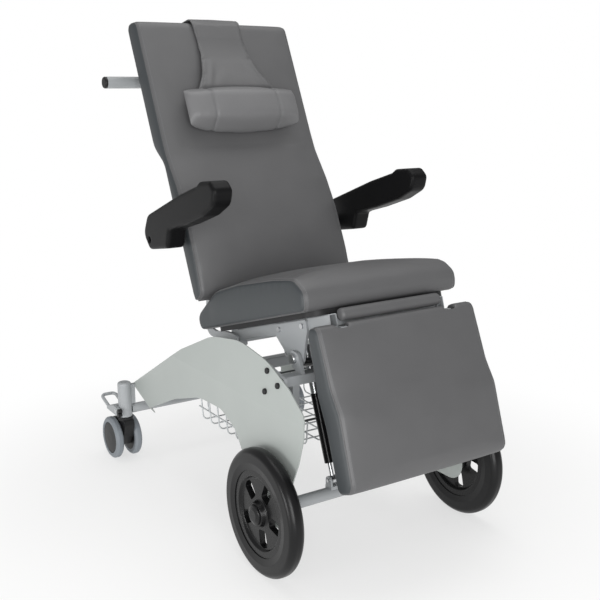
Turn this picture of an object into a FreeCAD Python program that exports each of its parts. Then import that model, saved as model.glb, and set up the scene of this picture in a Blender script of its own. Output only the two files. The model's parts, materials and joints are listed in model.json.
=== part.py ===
import FreeCAD, Part
import os
from math import cos, radians, sin, tan

from FreeCAD import Placement, Rotation, Vector

# A patient transfer chair: a tilting padded seat on a bent sheet chassis, with big wheels in
# front and twin casters behind. Millimetres, +Z up. The patient faces -Y and sits with the left
# hand at +X. The origin lies on the floor under the middle of the chair.

doc = FreeCAD.newDocument("transfer_chair")

# Driving dimensions

SIZES = {
    "axle_to_middle": 346,
    "front_wheel_radius": 150, "front_track_half": 298, "axle_height": 150, "tyre_width": 40,
    "axle_tube_radius": 15, "stub_axle_radius": 10, "running_gap": 0.05,
    "caster_radius": 62.5, "caster_half_track": 293, "caster_base": 802, "caster_trail": 32,
    "caster_wheel_gap": 29, "caster_wheel_width": 22, "post_radius": 20, "post_foot": 134,
    "post_height": 106, "brake_height": 154, "brake_shaft_radius": 6,
    "panel_inner": 260.5, "panel_sheet": 3, "crease_height": 383, "panel_lean": 8,
    "panel_tab_fold": 35,
    "beam_base": 30, "beam_height": 441, "beam_width": 30, "beam_depth": 24, "tube_wall": 2.5,
    "pivot_base": 55, "pivot_height": 481, "seat_tilt": 17, "plate_sheet": 6, "lug_sheet": 8,
    "pivot_radius": 8, "rail_inner": 145, "rail_width": 20, "rail_bottom": 58, "rail_depth": 30,
    "seat_width": 446, "seat_board": 12, "seat_crown": 12,
    "back_base": 415, "back_height": 565, "back_recline": 25, "back_width": 484, "back_board": 10,
    "back_crown": 16, "recline_base": 348, "recline_height": 458, "hinge_tube_radius": 12,
    "leg_base": -95, "leg_height": 575, "leg_swing": 19.5, "leg_width": 458, "leg_crown": 12,
    "knee_roll_radius": 15, "knee_roll_length": 284,
    "push_bar_radius": 16, "push_bar_length": 610, "push_bar_up": 650, "push_bar_out": 125,
    "arm_width": 52, "arm_inner": 264, "arm_pivot_up": 176, "arm_pivot_out": 46,
    "strut_out": 105, "strut_length": 352, "strut_lean": 21.15, "strut_foot_height": 183,
    "strut_tube_radius": 11.5, "strut_rod_radius": 5,
    "basket_wire": 2, "basket_rim_wire": 3, "basket_half": 222, "basket_front": 130,
    "basket_length": 360, "basket_rim": 288, "basket_depth": 70, "basket_pitch": 45,
}

dims = doc.addObject("Spreadsheet::Sheet", "dims")
for row, (name, value) in enumerate(SIZES.items(), start=1):
    dims.set("A%d" % row, name)
    dims.set("B%d" % row, str(value))
    dims.setAlias("B%d" % row, name)
doc.recompute()


def size(name):
    """The value of a driving dimension."""
    return float(dims.get(name))


def spot(x, y, z):
    """A place in the chair's frame, with y measured rearward from the front axle."""
    return Vector(x, y - size("axle_to_middle"), z)


ALONG_X = Rotation(Vector(0, 1, 0), 90)
CHASSIS = Placement(spot(0, 0, 0), Rotation())


def leaning(base, height, angle):
    """The frame of a unit that leans back by an angle about a crosswise line."""
    turn = Rotation(Vector(1, 0, 0), -size(angle))
    return Placement(spot(0, size(base), size(height)), turn)


SEAT = leaning("pivot_base", "pivot_height", "seat_tilt")
BACK = leaning("back_base", "back_height", "back_recline")
LEG = leaning("leg_base", "leg_height", "leg_swing")

# Tools for outlines and for the common kinds of piece

finished = []


def keep(piece):
    """Mark a document object as a sub-part of the chair."""
    finished.append(piece)
    return piece


def rounded(points):
    """Lines and tangent arcs round a closed outline of corners (u, v) or (u, v, radius)."""
    count = len(points)
    corners = [Vector(p[0], p[1], 0) for p in points]
    starts, ends, edges = [], [], []
    for i, point in enumerate(points):
        here = corners[i]
        radius = point[2] if len(point) > 2 else 0
        back = (corners[i - 1] - here).normalize()
        ahead = (corners[(i + 1) % count] - here).normalize()
        half = back.getAngle(ahead) / 2
        reach = radius / tan(half)
        starts.append(here + back * reach)
        ends.append(here + ahead * reach)
        if radius:
            inward = (back + ahead).normalize()
            middle = here + inward * (radius / sin(half) - radius)
            edges.append(Part.Arc(starts[i], middle, ends[i]))
    for i in range(count):
        following = starts[(i + 1) % count]
        if ends[i].distanceToPoint(following) > 1e-6:
            edges.insert(0, Part.LineSegment(ends[i], following))
    return edges


def circle(u, v, radius):
    """A round hole or a round outline."""
    return [Part.Circle(Vector(u, v, 0), Vector(0, 0, 1), radius)]


def box(u0, u1, v0, v1, radius=0):
    """A rectangle with rounded corners."""
    return rounded([(u0, v0, radius), (u1, v0, radius), (u1, v1, radius), (u0, v1, radius)])


def draw(body, loops, plane="YZ_Plane", start=0, turn=None):
    """A sketch of closed loops on one of the body's own planes, moved along its normal."""
    sketch = body.newObject("Sketcher::SketchObject", body.Name + "_sketch")
    support = [f for f in body.Origin.OriginFeatures if f.Role == plane][0]
    sketch.AttachmentSupport = (support, [""])
    sketch.MapMode = "FlatFace"
    sketch.AttachmentOffset = turn or Placement(Vector(0, 0, start), Rotation())
    for loop in loops:
        sketch.addGeometry(loop, False)
    doc.recompute()
    return sketch


def pad(body, loops, depth, plane="YZ_Plane", start=0, turn=None):
    """Add a padded outline to a body; depth is an expression on the sheet."""
    feature = body.newObject("PartDesign::Pad", body.Name + "_pad")
    feature.Profile = draw(body, loops, plane, start, turn)
    feature.setExpression("Length", depth)
    doc.recompute()
    return feature


def cut(body, loops, depth, plane="YZ_Plane", start=0):
    """Cut an outline out of a body, from the start plane against its normal."""
    feature = body.newObject("PartDesign::Pocket", body.Name + "_cut")
    feature.Profile = draw(body, loops, plane, start)
    feature.setExpression("Length", depth)
    doc.recompute()
    return feature


def revolve(body, outline):
    """Add a turned form to a body, from an outline of (radius, height) about its Z axis."""
    feature = body.newObject("PartDesign::Revolution", body.Name + "_turn")
    sketch = draw(body, [outline], "XZ_Plane")
    feature.Profile = sketch
    feature.ReferenceAxis = (sketch, ["V_Axis"])
    feature.Angle = 360
    doc.recompute()
    return feature


def new_body(label, place):
    """An empty body with its own label and placement."""
    body = doc.addObject("PartDesign::Body", label)
    body.Placement = place
    return body


def plate(label, loops, depth, start, place, plane="YZ_Plane"):
    """A piece cut from sheet, board or tube: one outline padded to one depth."""
    body = new_body(label, place)
    pad(body, loops, depth, plane, start)
    return body


def turned(label, points, place):
    """A piece made on a lathe."""
    body = new_body(label, place)
    revolve(body, rounded(points))
    return body


def twin(source):
    """The right-hand copy of a left-hand piece."""
    copy = doc.addObject("Part::Mirroring", source.Name.replace("left", "right"))
    copy.Source = source
    copy.Normal = Vector(1, 0, 0)
    return copy


def keep_both(source):
    """Keep a left-hand piece and its right-hand copy as two sub-parts."""
    keep(source)
    keep(twin(source))


def with_twins(pieces):
    """Left-hand pieces followed by their right-hand copies."""
    return pieces + [twin(piece) for piece in pieces]


def grouped(label, pieces):
    """One sub-part that holds equal pieces as separate solids."""
    group = doc.addObject("Part::Compound", label)
    group.Links = pieces
    return keep(group)


def welded(label, pieces):
    """One sub-part made of pieces that are welded together."""
    joint = doc.addObject("Part::MultiFuse", label)
    joint.Shapes = pieces
    doc.recompute()
    return keep(joint)


def solid(label, shape, place=Placement()):
    """A piece whose form comes from a sweep or a group of equal pieces."""
    piece = doc.addObject("Part::Feature", label)
    piece.Shape = shape
    piece.Placement = place
    return piece


def bent_rod(points, bend, radius):
    """A round rod through the points, with the same bend at every inner point."""
    edges = []
    last = points[0]
    for before, here, after in zip(points, points[1:], points[2:]):
        back = (before - here).normalize()
        ahead = (after - here).normalize()
        half = back.getAngle(ahead) / 2
        start = here + back * (bend / tan(half))
        end = here + ahead * (bend / tan(half))
        middle = here + (back + ahead).normalize() * (bend / sin(half) - bend)
        edges.append(Part.LineSegment(last, start).toShape())
        edges.append(Part.Arc(start, middle, end).toShape())
        last = end
    edges.append(Part.LineSegment(last, points[-1]).toShape())
    ring = Part.Circle(points[0], points[1] - points[0], radius).toShape()
    return Part.Wire(edges).makePipeShell([Part.Wire(ring)], True, False)


def drawn_in(points, inset):
    """The corners of an outline moved inward by one distance."""
    moved = []
    count = len(points)
    corners = [Vector(p[0], p[1], 0) for p in points]
    area = sum(a.x * b.y - b.x * a.y for a, b in zip(corners, corners[1:] + corners[:1]))
    side = 1 if area > 0 else -1
    for i, point in enumerate(points):
        into = (corners[i] - corners[i - 1]).normalize()
        out = (corners[(i + 1) % count] - corners[i]).normalize()
        first = Vector(-into.y, into.x, 0) * side
        second = Vector(-out.y, out.x, 0) * side
        shift = (first + second) * (inset / (1 + first.dot(second)))
        moved.append((point[0] + shift.x, point[1] + shift.y, point[2]))
    return moved


def cushion(label, points, front, width, crown, place):
    """An upholstered pad lofted across its width: drawn-in sides, flat bands and a crown.

    Each corner is (u, v, radius, swell): swell is the share of the crown that it takes, towards
    the front direction.
    """
    half = size(width) / 2
    swell = size(crown)
    stations = [(1, 8, 0), (0.992, 3.5, 0), (0.975, 0, 0.05), (0.93, 0, 0.36), (0.84, 0, 0.66),
                (0.66, 0, 0.88), (0.36, 0, 0.98)]
    stations += [(-share, inset, rise) for share, inset, rise in reversed(stations)]
    body = new_body(label, place)
    sketches = []
    for share, inset, rise in stations:
        shaped = []
        for u, v, radius, weight in points:
            lift = swell * weight * rise
            shaped.append((u + front[0] * lift, v + front[1] * lift, radius))
        sketches.append(draw(body, [rounded(drawn_in(shaped, inset))], "YZ_Plane", half * share))
    loft = body.newObject("PartDesign::AdditiveLoft", label + "_loft")
    loft.Profile = sketches[0]
    loft.Sections = sketches[1:]
    loft.Ruled = True
    doc.recompute()
    return body


# Chassis: bent side panels

FOLD_TOP = Vector(809, 228, 0)
FOLD_FOOT = Vector(690, 186, 0)
TAB_CORNER = Vector(754, 132, 0)


def side_panel():
    """One sheet: an arched web, an upper flange that leans inward and a folded rear corner."""
    crease = size("crease_height")
    axle = size("axle_height")
    face = size("panel_inner") + size("panel_sheet")
    body = new_body("side_panel_left", CHASSIS)
    web = rounded([
        (-112, crease), (533, crease), (FOLD_TOP.x, FOLD_TOP.y), (FOLD_FOOT.x, FOLD_FOOT.y),
        (523, 262, 260), (373, 310, 200), (258, 314, 70), (186, 283, 60), (60, 103, 44),
        (-52, 103, 44), (-52, 200, 90), (-92, 290, 120), (-112, 355, 60)])
    pad(body, [web, circle(0, axle, size("stub_axle_radius"))], "dims.panel_sheet",
        start=size("panel_inner"))
    upper = rounded([
        (-112, 0), (533, 0), (482, 30, 30), (326, 101, 220), (190, 121, 220), (60, 103, 220),
        (-40, 64, 90), (-112, 20, 30)])
    lean = Placement(Vector(0, crease, face), Rotation(Vector(1, 0, 0), -size("panel_lean")))
    pad(body, [upper], "dims.panel_sheet", turn=lean).Reversed = True
    tab_line = (FOLD_TOP - FOLD_FOOT).normalize()
    fold = Placement(Vector(FOLD_FOOT.x, FOLD_FOOT.y, face),
                     Rotation(tab_line, size("panel_tab_fold")))
    tab = [FOLD_TOP - FOLD_FOOT, Vector(0, 0, 0), TAB_CORNER - FOLD_FOOT]
    pad(body, [rounded([(p.x, p.y) for p in tab])], "dims.panel_sheet", turn=fold).Reversed = True
    doc.recompute()
    return body


keep_both(side_panel())

# Chassis: axle tube, stub axles, crossbeams and basket rails


def cross_tube(label, half, y, z, outer, inner):
    """A round tube across the chair."""
    points = [(inner, -half), (outer, -half), (outer, half), (inner, half)]
    return turned(label, points, Placement(spot(0, y, z), ALONG_X))


def strut_foot():
    """The fork on the axle tube that holds the foot of a gas spring."""
    z = size("strut_foot_height")
    out = size("strut_out")
    tube_top = size("axle_height") + size("axle_tube_radius")
    body = new_body("strut_foot_left", CHASSIS)
    pad(body, [box(-12, 12, tube_top - 4, tube_top + 5, 1)], "26", start=out - 13)
    ear = rounded([(-11, tube_top), (11, tube_top), (11, z + 10, 10), (-11, z + 10, 10)])
    for start in (out - 13, out + 8):
        pad(body, [ear, circle(0, z, 4)], "5", start=start)
    return body


AXLE_TUBE = cross_tube("axle_tube", size("panel_inner"), 0, size("axle_height"),
                       size("axle_tube_radius"), size("stub_axle_radius"))
welded("front_axle_tube", [AXLE_TUBE] + with_twins([strut_foot()]))


def stub_axle():
    """The pin that a front wheel turns on, with a collar that spaces it off the panel."""
    radius = size("stub_axle_radius")
    collar = size("panel_inner") + size("panel_sheet")
    shoulder = collar + 9.5
    end = size("front_track_half") + 21
    points = [(0, 200), (radius, 200), (radius, collar), (14, collar), (14, shoulder),
              (radius, shoulder), (radius, end), (0, end)]
    return turned("stub_axle_left", points, Placement(spot(0, 0, size("axle_height")), ALONG_X))


grouped("stub_axles", with_twins([stub_axle()]))


def beam(label, y, z, width, depth, half):
    """A rectangular tube across the chair."""
    wall = size("tube_wall")
    outer = box(y - width / 2, y + width / 2, z - depth / 2, z + depth / 2, 3)
    inner = box(y - width / 2 + wall, y + width / 2 - wall,
                z - depth / 2 + wall, z + depth / 2 - wall, 1)
    return plate(label, [outer, inner], "%g" % (2 * half), -half, CHASSIS)


CROSSBEAM = beam("crossbeam_tube", size("beam_base"), size("beam_height"), size("beam_width"),
                 size("beam_depth"), 242)
REAR_BEAM = beam("rear_beam_tube", 500, 324, 30, 30, size("panel_inner"))


def end_plate():
    """The plate that bolts the crossbeam to the leaning flange of a side panel."""
    y = size("beam_base")
    outline = rounded([(y - 42, 430, 12), (y + 38, 405, 12), (y + 38, 478, 12), (y - 42, 458, 12)])
    return plate("beam_end_plate_left", [outline], "dims.lug_sheet", 238.8, CHASSIS)


def tilt_lug():
    """The ear on the crossbeam that carries the seat's pivot pin."""
    y = size("pivot_base")
    z = size("pivot_height")
    seat = size("beam_height") + size("beam_depth") / 2
    outline = rounded([(17, seat), (44, seat), (y + 20, z - 8, 16), (y + 14, z + 20, 16),
                       (y - 20, z + 16, 18)])
    hole = circle(y, z, size("pivot_radius"))
    return plate("tilt_lug_left", [outline, hole], "dims.lug_sheet", 173, CHASSIS)


welded("crossbeam", [CROSSBEAM] + with_twins([end_plate(), tilt_lug()]))

BOLT_SPOTS = [(52, 465), (52, 417), (3, 443)]


def panel_bolts():
    """Three dark cap bolts on each side panel, through the flange into the end plate."""
    lean = radians(size("panel_lean"))
    heads = []
    for side in (-1, 1):
        for y, z in BOLT_SPOTS:
            rise = z - size("crease_height")
            face = size("panel_inner") + size("panel_sheet") - rise * tan(lean)
            outward = Vector(side * cos(lean), 0, sin(lean))
            head = Part.makeCylinder(7, 5, spot(side * face, y, z), outward)
            heads.append(head.makeFillet(1.5, [head.Edges[0]]))
    return solid("panel_bolts", Part.Compound(heads))


keep(panel_bolts())


def basket_hanger():
    """A square tube that drops from the crossbeam and turns back as the basket's rail."""
    top = size("beam_height") - size("beam_depth") / 2
    body = new_body("basket_hanger_left", CHASSIS)
    y = size("beam_base")
    outline = rounded([(y - 9, top), (y - 9, 291, 4), (515, 291), (515, 309), (y + 9, 309, 12),
                       (y + 9, top)])
    pad(body, [outline], "18", start=186)
    return body


welded("basket_frame", [REAR_BEAM] + with_twins([basket_hanger()]))

# Wire basket under the seat


def basket():
    """Bent cross wires and long wires welded under a rim."""
    half = size("basket_half")
    front = size("basket_front")
    rear = front + size("basket_length")
    rim = size("basket_rim")
    floor = rim - size("basket_depth")
    wire = size("basket_wire")
    pitch = size("basket_pitch")
    corners = [(half, front), (half, rear), (-half, rear), (-half, front)]
    loop = [spot(0, front, rim)] + [spot(x, y, rim) for x, y in corners] + [spot(-1, front, rim)]
    wires = [bent_rod(loop, 30, size("basket_rim_wire"))]
    across = int(size("basket_length") / pitch)
    for i in range(1, across):
        y = front + i * pitch
        points = [spot(-half, y, rim), spot(-half + 6, y, floor), spot(half - 6, y, floor),
                  spot(half, y, rim)]
        wires.append(bent_rod(points, 15, wire))
    along = int((2 * half - 60) / pitch)
    for i in range(along + 1):
        x = (i - along / 2) * pitch
        points = [spot(x, front, rim), spot(x, front + 6, floor + 1.5 * wire),
                  spot(x, rear - 6, floor + 1.5 * wire), spot(x, rear, rim)]
        wires.append(bent_rod(points, 15, wire))
    middle = (rim + floor) / 2
    for side in (-1, 1):
        x = side * (half - 1.2 * wire)
        wires.append(bent_rod([spot(x, front + 30, middle), spot(x, rear - 30, middle)], 0, wire))
    return solid("wire_basket", wires[0].multiFuse(wires[1:]))


keep(basket())


def basket_clips():
    """Dark clips that hang the basket's rim from its rails."""
    clips = []
    for side in (-1, 1):
        for y in (175, 445):
            x = side * 204
            block = Part.makeBox(10, 16, 16, spot(min(x, x + side * 10), y - 8, 293))
            clips.append(block)
            drop = Part.makeBox(22, 12, 4, spot(min(x, x + side * 22), y - 6, 291.5))
            clips[-1] = clips[-1].fuse(drop)
    return solid("basket_clips", Part.Compound(clips))


keep(basket_clips())

# Rear posts, cross tube, brake shaft and pedals


def rear_post():
    """The tube that a caster turns in, with the lug that carries the side panel."""
    radius = size("post_radius")
    foot = size("post_foot")
    top = foot + size("post_height")
    bore = 11 + size("running_gap")
    place = Placement(spot(size("caster_half_track"), size("caster_base"), 0), Rotation())
    body = new_body("rear_post_left", place)
    revolve(body, rounded([(bore, foot), (radius, foot, 2), (radius, top, 7), (0, top),
                           (0, foot + 13), (bore, foot + 13)]))
    reach = size("caster_half_track") - size("panel_inner") - size("panel_sheet")
    pad(body, [box(-10, 10, 170, 230, 4)], "%g" % (reach - 16), start=-reach)
    shaft = circle(0, size("brake_height"), size("brake_shaft_radius") + size("running_gap"))
    cut(body, [shaft], "60", start=30)
    return body


REAR_TUBE = cross_tube("rear_cross_tube", size("caster_half_track") - size("post_radius") + 1,
                       size("caster_base"), size("brake_height"), 14, 11)
welded("rear_frame", [REAR_TUBE] + with_twins([rear_post()]))


def brake_shaft():
    """The shaft that locks both casters, through the posts and inside the cross tube."""
    radius = size("brake_shaft_radius")
    half = size("caster_half_track") + 32
    place = Placement(spot(0, size("caster_base"), size("brake_height")), ALONG_X)
    return turned("brake_shaft", [(0, -half), (radius, -half), (radius, half), (0, half)], place)


keep(brake_shaft())


def brake_pedal():
    """A flat lever outside the post, with a foot plate and a bow of bent rod behind it."""
    base = size("caster_base")
    height = size("brake_height")
    outer = size("caster_half_track") + size("post_radius")
    lever = new_body("brake_lever_left", CHASSIS)
    outline = rounded([(base - 14, height - 13, 12), (base + 68, height - 11, 4),
                       (base + 68, height - 1, 4), (base + 16, height + 13, 14),
                       (base - 14, height + 13, 12)])
    pad(lever, [outline, circle(base, height, size("brake_shaft_radius"))], "10", start=outer + 1)
    pad(lever, [box(base + 52, base + 68, height - 11, height - 1, 3)], "56", start=outer - 45)
    rear = base + 62
    near = outer + 5
    far = outer - 39
    points = [spot(near, rear, height - 6), spot(near, rear + 62, height + 14),
              spot(far, rear + 62, height + 14), spot(far, rear, height - 6)]
    bow = solid("brake_bow_left", bent_rod(points, 14, 5))
    pedal = doc.addObject("Part::Fuse", "brake_pedal_left")
    pedal.Base = lever
    pedal.Tool = bow
    doc.recompute()
    return pedal


keep_both(brake_pedal())


def brake_stop():
    """The dark rubber stop with two lobes on the front end of a brake lever."""
    base = size("caster_base") - 14
    height = size("brake_height")
    start = size("caster_half_track") + size("post_radius") + 1
    body = new_body("brake_stop_left", CHASSIS)
    pad(body, [box(base - 9, base, height - 5, height + 5)], "12", start=start)
    for lobe in (-6, 6):
        pad(body, [circle(base - 8, height + lobe, 6)], "12", start=start)
    return body


grouped("brake_stops", with_twins([brake_stop()]))

# Front wheels


def front_tyre():
    """The solid tyre, with round shoulders."""
    outer = size("front_wheel_radius")
    half = size("tyre_width") / 2
    points = [(102, -half + 3), (118, -half, 10), (141, -half + 1, 12), (outer, -9, 14),
              (outer, 9, 14), (141, half - 1, 12), (118, half, 10), (102, half - 3)]
    place = Placement(spot(size("front_track_half"), 0, size("axle_height")), ALONG_X)
    return turned("front_tyre_left", points, place)


keep_both(front_tyre())


def front_wheel():
    """The moulded wheel: hub, five broad spokes and rim."""
    bore = size("stub_axle_radius") + size("running_gap")
    place = Placement(spot(size("front_track_half"), 0, size("axle_height")),
                      ALONG_X.multiply(Rotation(Vector(0, 0, 1), 170)))
    body = new_body("front_wheel_left", place)
    revolve(body, rounded([
        (bore, -23), (27, -23, 2), (31, -7, 5), (82, -7, 5), (87, -15, 3), (102, -15), (102, 15),
        (87, 15, 3), (82, 8, 5), (31, 9, 5), (27, 22, 3), (bore, 22)]))
    window = []
    for radius, angle in [(42, 16), (80, 24), (82, 36), (80, 48), (42, 56)]:
        window.append((radius * cos(radians(angle)), radius * sin(radians(angle)), 7))
    pocket = cut(body, [rounded(window)], "60", "XY_Plane", 30)
    spokes = body.newObject("PartDesign::PolarPattern", "spokes_left")
    spokes.Originals = [pocket]
    spokes.Axis = (pocket.Profile[0], ["N_Axis"])
    spokes.Angle = 360
    spokes.Occurrences = 5
    body.Tip = spokes
    doc.recompute()
    return body


keep_both(front_wheel())


def hub_cap():
    """The domed cap over the end of the stub axle."""
    points = [(0, 22), (24, 22), (24, 26, 3), (14, 29.5, 6), (0, 29.5)]
    place = Placement(spot(size("front_track_half"), 0, size("axle_height")), ALONG_X)
    return turned("hub_cap_left", points, place)


keep_both(hub_cap())

# Twin casters


def caster_place():
    """The caster's own frame: on its swivel axis, at floor level."""
    return Placement(spot(size("caster_half_track"), size("caster_base"), 0), Rotation())


def caster_wheel_place(side):
    """The middle of one of the twin wheels, with the axle along local Z."""
    x = size("caster_half_track") + side * size("caster_wheel_gap")
    y = size("caster_base") + size("caster_trail")
    return Placement(spot(x, y, size("caster_radius")), ALONG_X)


def caster_housing():
    """The moulded body between the twin wheels, with axle pin, race and pivot under the post."""
    axle_y = size("caster_trail")
    axle_z = size("caster_radius")
    body = new_body("caster_housing_left", caster_place())
    outline = rounded([
        (-26, 127, 6), (24, 127, 30), (62, 118, 30), (86, 88, 30), (84, 52, 14), (58, 34, 26),
        (10, 36, 26), (-16, 76, 40), (-30, 112, 12)])
    pad(body, [outline], "30", start=-15)
    pad(body, [circle(axle_y, axle_z, 6)], "77", start=-38.5)
    foot = size("post_foot")
    pad(body, [circle(0, 0, 23)], "%g" % (foot - 0.4 - 124), "XY_Plane", 124)
    pad(body, [circle(0, 0, 11)], "20", "XY_Plane", 126)
    return body


keep_both(caster_housing())


def caster_tyre(name, side):
    """The grey running band of one caster wheel."""
    outer = size("caster_radius")
    half = size("caster_wheel_width") / 2
    points = [(47, -half), (outer - 6, -half, 3), (outer, -half + 5, 5), (outer, half - 5, 5),
              (outer - 6, half, 3), (47, half)]
    return turned("caster_tyre_%s_left" % name, points, caster_wheel_place(side))


def caster_hub(name, side):
    """The dark hub of one caster wheel, closed by a slightly domed disc."""
    bore = 6 + size("running_gap")
    half = size("caster_wheel_width") / 2
    points = [(bore, -half), (47, -half), (47, half - 2.5), (44, half - 0.5, 3), (18, half + 1, 40),
              (0, half + 1), (0, half - 1.2), (bore, half - 1.2)]
    place = caster_wheel_place(side)
    if side < 0:
        place = place.multiply(Placement(Vector(), Rotation(Vector(1, 0, 0), 180)))
    return turned("caster_hub_%s_left" % name, points, place)


for wheel, wheel_side in (("outer", 1), ("inner", -1)):
    keep_both(caster_tyre(wheel, wheel_side))
    keep_both(caster_hub(wheel, wheel_side))

# Tilt pivot on the crossbeam


def tilt_pin():
    """The headed pin that the seat tilts on."""
    radius = size("pivot_radius")
    place = Placement(spot(0, size("pivot_base"), size("pivot_height")), ALONG_X)
    points = [(0, 160), (radius, 160), (radius, 181.2), (13, 181.2), (13, 188, 3), (0, 188)]
    return turned("tilt_pin_left", points, place)


grouped("tilt_pins", with_twins([tilt_pin()]))

# Seat frame, in the seat's own frame: y rearward along the seat, z off the seat, from the pivot


def seat_rail():
    """The rectangular tube along one side of the seat."""
    low = size("rail_bottom")
    high = low + size("rail_depth")
    left = size("rail_inner")
    right = left + size("rail_width")
    outer = box(left, right, low, high, 3)
    inner = box(left + 2, right - 2, low + 2, high - 2, 1)
    body = new_body("seat_rail_left", SEAT)
    pad(body, [outer, inner], "418", "XZ_Plane", -268)
    return body


def seat_cross(label, start, end, low):
    """A flat tube between the seat rails."""
    high = size("rail_bottom") + size("rail_depth") - 2
    half = size("rail_inner")
    outer = box(start, end, low, high, 2)
    inner = box(start + 2, end - 2, low + 2, high - 2)
    return plate(label, [outer, inner], "%g" % (2 * half), -half, SEAT)


def seat_board():
    """The board under the seat cushion."""
    outline = box(-200, 200, -132, 330, 40)
    start = size("rail_bottom") + size("rail_depth")
    return plate("seat_board", [outline], "dims.seat_board", start, SEAT, "XY_Plane")


keep(seat_board())


def tilt_plate():
    """The sector plate that hangs from a rail and turns on the tilt pin."""
    outline = rounded([(-21, -17, 20), (21, -17, 20), (78, 58, 10), (78, 84, 4), (-62, 84, 4),
                       (-62, 58, 10)])
    hole = circle(0, 0, size("pivot_radius") + size("running_gap"))
    start = size("rail_inner") + size("rail_width")
    return plate("tilt_plate_left", [outline, hole], "dims.plate_sheet", start, SEAT)


grouped("tilt_plates", with_twins([tilt_plate()]))


def plate_bolts():
    """Bolt heads that fix the sector plates to the rails."""
    start = size("rail_inner") + size("rail_width") + size("plate_sheet")
    heads = []
    for side in (-1, 1):
        for y in (-44, 58):
            heads.append(Part.makeCylinder(6, 4, Vector(side * start, y, 71), Vector(side, 0, 0)))
    return solid("tilt_plate_bolts", Part.Compound(heads), SEAT)


keep(plate_bolts())


def hinge_block():
    """The block at the rear end of a rail that carries the backrest's hinge tube."""
    hinge = SEAT.inverse().multVec(spot(0, size("recline_base"), size("recline_height")))
    outline = box(268, hinge.y + 22, hinge.z - 20, size("rail_bottom") + size("rail_depth"), 6)
    hole = circle(hinge.y, hinge.z, size("hinge_tube_radius") + size("running_gap"))
    return plate("hinge_block_left", [outline, hole], "dims.rail_width", size("rail_inner"), SEAT)


def leg_lug():
    """The ear under the front of a rail that carries the leg rest's hinge pin."""
    hinge = SEAT.inverse().multVec(LEG.Base)
    outline = rounded([(hinge.y - 13, hinge.z - 13, 12), (hinge.y + 14, hinge.z - 13, 12),
                       (-90, 50, 4), (-90, 58, 2), (hinge.y + 4, 58, 4), (hinge.y - 13, hinge.z + 9, 9)])
    hole = circle(hinge.y, hinge.z, 6 + size("running_gap"))
    return plate("leg_lug_left", [outline, hole], "dims.lug_sheet", 150, SEAT)


def seat_side():
    """A seat rail with its hinge block behind and its leg-rest ear in front."""
    side = doc.addObject("Part::MultiFuse", "seat_side_left")
    side.Shapes = [seat_rail(), hinge_block(), leg_lug()]
    doc.recompute()
    return side


keep_both(seat_side())


def knee_roll():
    """The padded roll between seat and leg rest."""
    half = size("knee_roll_length") / 2
    radius = size("knee_roll_radius")
    place = SEAT.multiply(Placement(Vector(0, -156.5, 83), ALONG_X))
    points = [(0, -half), (radius, -half, 5), (radius + 0.1, 0, 900), (radius, half, 5), (0, half)]
    return turned("knee_roll", points, place)


keep(knee_roll())

SEAT_OUTLINE = [
    (-140, 100, 14, 0), (-151, 140, 30, 0.2), (-113, 176, 45, 0.7), (-20, 186, 240, 1),
    (140, 194, 230, 1), (262, 190, 60, 0.6), (385, 138, 24, 0), (368, 100, 8, 0)]
keep(cushion("seat_cushion", SEAT_OUTLINE, (0, 1), "seat_width", "seat_crown", SEAT))

# Tilt gas springs, in the strut's own frame: z up along the strut from its foot

STRUT = Placement(spot(size("strut_out"), 0, size("strut_foot_height")),
                  Rotation(Vector(1, 0, 0), -size("strut_lean")))


def strut_rod():
    """The polished rod with its eye below and the piston at its upper end."""
    radius = size("strut_rod_radius")
    body = new_body("strut_rod_left", STRUT)
    revolve(body, rounded([(0, 8), (radius, 8), (radius, 176), (9.4, 176), (9.4, 186), (0, 186)]))
    pad(body, [circle(0, 0, 10), circle(0, 0, 4 + size("running_gap"))], "12", start=-6)
    return body


grouped("strut_rods", with_twins([strut_rod()]))


def strut_pin():
    """The cross pin in the fork at the foot of a gas spring."""
    place = Placement(spot(size("strut_out"), 0, size("strut_foot_height")), ALONG_X)
    return turned("strut_pin_left", [(0, -16), (4, -16), (4, 16), (0, 16)], place)


grouped("strut_pins", with_twins([strut_pin()]))


def strut_cylinder():
    """The black pressure tube, open for the rod below."""
    outer = size("strut_tube_radius")
    rod = size("strut_rod_radius") + size("running_gap")
    points = [(rod, 40), (outer, 40, 2), (outer, 208), (9.6, 208), (9.6, 52), (rod, 52)]
    return turned("strut_cylinder_left", points, STRUT)


grouped("strut_cylinders", with_twins([strut_cylinder()]))


def strut_sleeve():
    """The bright upper tube with the eye that reaches the seat frame."""
    outer = size("strut_tube_radius") - 1
    top = size("strut_length")
    body = new_body("strut_sleeve_left", STRUT)
    revolve(body, rounded([(0, 208), (outer, 208), (outer, top - 30, 3), (5, top - 22, 3),
                           (5, top - 8), (0, top - 8)]))
    pad(body, [circle(0, top, 12), circle(0, top, 6)], "12", start=-6)
    return body


grouped("strut_sleeves", with_twins([strut_sleeve()]))


def strut_clevis():
    """The fork under the seat frame at the head of a gas spring, with its pin."""
    head = SEAT.inverse().multVec(STRUT.multVec(Vector(0, 0, size("strut_length"))))
    out = size("strut_out")
    body = new_body("strut_clevis_left", SEAT)
    ear = rounded([(head.y - 12, head.z - 12, 11), (head.y + 12, head.z - 12, 11),
                   (head.y + 14, 66), (head.y - 14, 66)])
    for start in (out - 13, out + 8):
        pad(body, [ear], "5", start=start)
    pad(body, [circle(head.y, head.z, 4.5)], "26", start=out - 13)
    return body


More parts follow.
